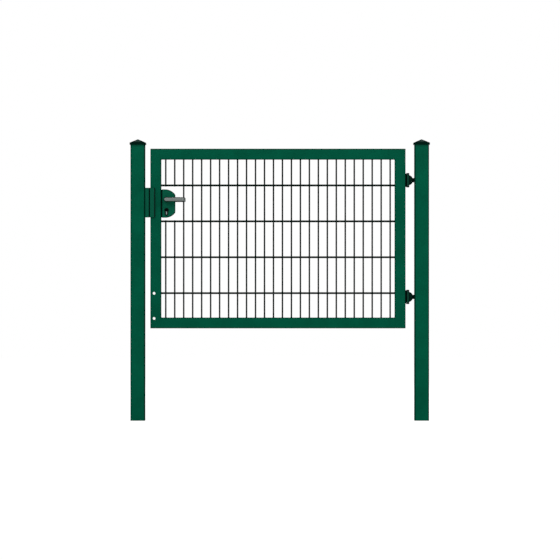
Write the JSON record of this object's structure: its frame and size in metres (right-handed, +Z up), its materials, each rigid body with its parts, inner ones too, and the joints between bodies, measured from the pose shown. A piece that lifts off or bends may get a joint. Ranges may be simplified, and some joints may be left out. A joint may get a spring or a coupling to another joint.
{
  "type": "tubular frame gate",
  "caption": "Single-leaf gate of welded tube with double-wire mesh, hung on adjustable hinges between two capped square posts, with a lever lock and keep.",
  "frame": {"origin": "centre of the hinge post's foot", "axes": "+X along the gate from the lock post towards the hinge post, +Y to the side the leaf opens to, +Z up"},
  "size_m": [1.67, 0.144, 1.566],
  "materials": {
    "post_powder_coat": "satin powder coat",
    "frame_powder_coat": "satin powder coat",
    "wire_powder_coat": "satin powder coat on galvanised wire",
    "lock_powder_coat": "satin powder coat",
    "keep_powder_coat": "satin powder coat on cast aluminium",
    "hinge_black": "dark coated forging",
    "zinc_steel": "zinc-plated",
    "stainless": "brushed stainless",
    "lever_grey": "satin anodised",
    "cylinder_nickel": "satin nickel",
    "plug_dark": "dark satin",
    "black_plastic": "fine texture",
    "black_rubber": "matt"
  },
  "bodies": {
    "posts": {"hinge_post": "post_powder_coat", "lock_post": "post_powder_coat", "hinge_post_cap": "black_plastic", "lock_post_cap": "black_plastic", "keep": "keep_powder_coat", "stop_buffer": "black_rubber", "upper_hinge_eye": "hinge_black", "lower_hinge_eye": "hinge_black", "upper_hinge_nuts": "hinge_black", "lower_hinge_nuts": "hinge_black"},
    "gate_leaf": {"lock_stile": "frame_powder_coat", "hinge_stile": "frame_powder_coat", "top_rail": "frame_powder_coat", "bottom_rail": "frame_powder_coat", "mesh_panel": "wire_powder_coat", "lock_case": "lock_powder_coat", "lock_face_plate": "stainless", "latch_bolt": "stainless", "dead_bolt": "stainless", "front_rose": "lock_powder_coat", "back_rose": "lock_powder_coat", "front_escutcheon": "black_plastic", "back_escutcheon": "black_plastic", "profile_cylinder": "cylinder_nickel", "cylinder_plugs": "plug_dark", "upper_hinge_bracket": "hinge_black", "lower_hinge_bracket": "hinge_black", "upper_hinge_pin": "hinge_black", "lower_hinge_pin": "hinge_black", "upper_hinge_washers": "zinc_steel", "lower_hinge_washers": "zinc_steel"},
    "lever_set": {"front_lever": "lever_grey", "back_lever": "lever_grey", "lever_spindle": "zinc_steel"}
  },
  "joints": [
    {"name": "leaf_swing", "type": "hinge", "parent": "posts", "child": "gate_leaf", "pos_m": [-0.077, 0, 1.013], "axis": [0, 0, -1], "range_deg": [0, 95]},
    {"name": "lever_turn", "type": "hinge", "parent": "gate_leaf", "child": "lever_set", "pos_m": [-1.42, 0, 1.23], "axis": [0, 1, 0], "range_deg": [0, 45], "stiffness_Nm_per_rad": 3, "springref_deg": -17.19}
  ]
}
